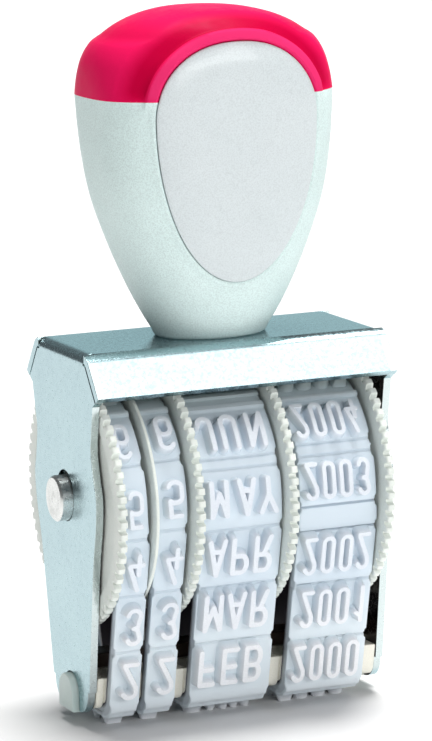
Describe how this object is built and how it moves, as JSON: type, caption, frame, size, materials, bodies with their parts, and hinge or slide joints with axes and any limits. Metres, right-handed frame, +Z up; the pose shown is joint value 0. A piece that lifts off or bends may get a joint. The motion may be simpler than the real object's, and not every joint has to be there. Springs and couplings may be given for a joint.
{
  "type": "date stamp",
  "caption": "Self-standing hand date stamp: thumbwheels turn rubber type bands round a shoe in a folded steel frame, pressed down by a moulded handle.",
  "frame": {"origin": "on the paper, under the middle of the stamp: the type that prints lies at Z = 0", "axes": "+Z up along the handle, +X along the axle from the tens wheel to the year wheel, front towards -Y"},
  "size_m": [0.0344, 0.026, 0.0708],
  "materials": {
    "plated_sheet": "satin plated",
    "handle_plastic": "fine texture",
    "cap_plastic": "smooth",
    "panel_plastic": "smooth",
    "steel": "turned",
    "wheel_plastic": "smooth",
    "band_rubber": "smooth",
    "shoe_plastic": "smooth"
  },
  "bodies": {
    "stamp": {"frame": "plated_sheet", "handle_body": "handle_plastic", "handle_cap": "cap_plastic", "front_panel": "panel_plastic", "back_panel": "panel_plastic", "handle_screw": "steel", "screw_washer": "steel", "axle": "steel", "day_divider": "wheel_plastic", "end_spacer": "wheel_plastic", "day_tens_band": "band_rubber", "day_units_band": "band_rubber", "month_band": "band_rubber", "year_band": "band_rubber", "shoe": "shoe_plastic"},
    "day_tens_wheel": {"day_tens_wheel": "wheel_plastic"},
    "day_units_wheel": {"day_units_wheel": "wheel_plastic"},
    "month_wheel": {"month_wheel": "wheel_plastic"},
    "year_wheel": {"year_wheel": "wheel_plastic"}
  },
  "joints": [
    {"name": "day_tens_turn", "type": "hinge", "parent": "stamp", "child": "day_tens_wheel", "pos_m": [0, 0, 0.02285], "axis": [1, 0, 0], "continuous": true},
    {"name": "day_units_turn", "type": "hinge", "parent": "stamp", "child": "day_units_wheel", "pos_m": [0, 0, 0.02285], "axis": [1, 0, 0], "continuous": true},
    {"name": "month_turn", "type": "hinge", "parent": "stamp", "child": "month_wheel", "pos_m": [0, 0, 0.02285], "axis": [1, 0, 0], "continuous": true},
    {"name": "year_turn", "type": "hinge", "parent": "stamp", "child": "year_wheel", "pos_m": [0, 0, 0.02285], "axis": [1, 0, 0], "continuous": true}
  ]
}
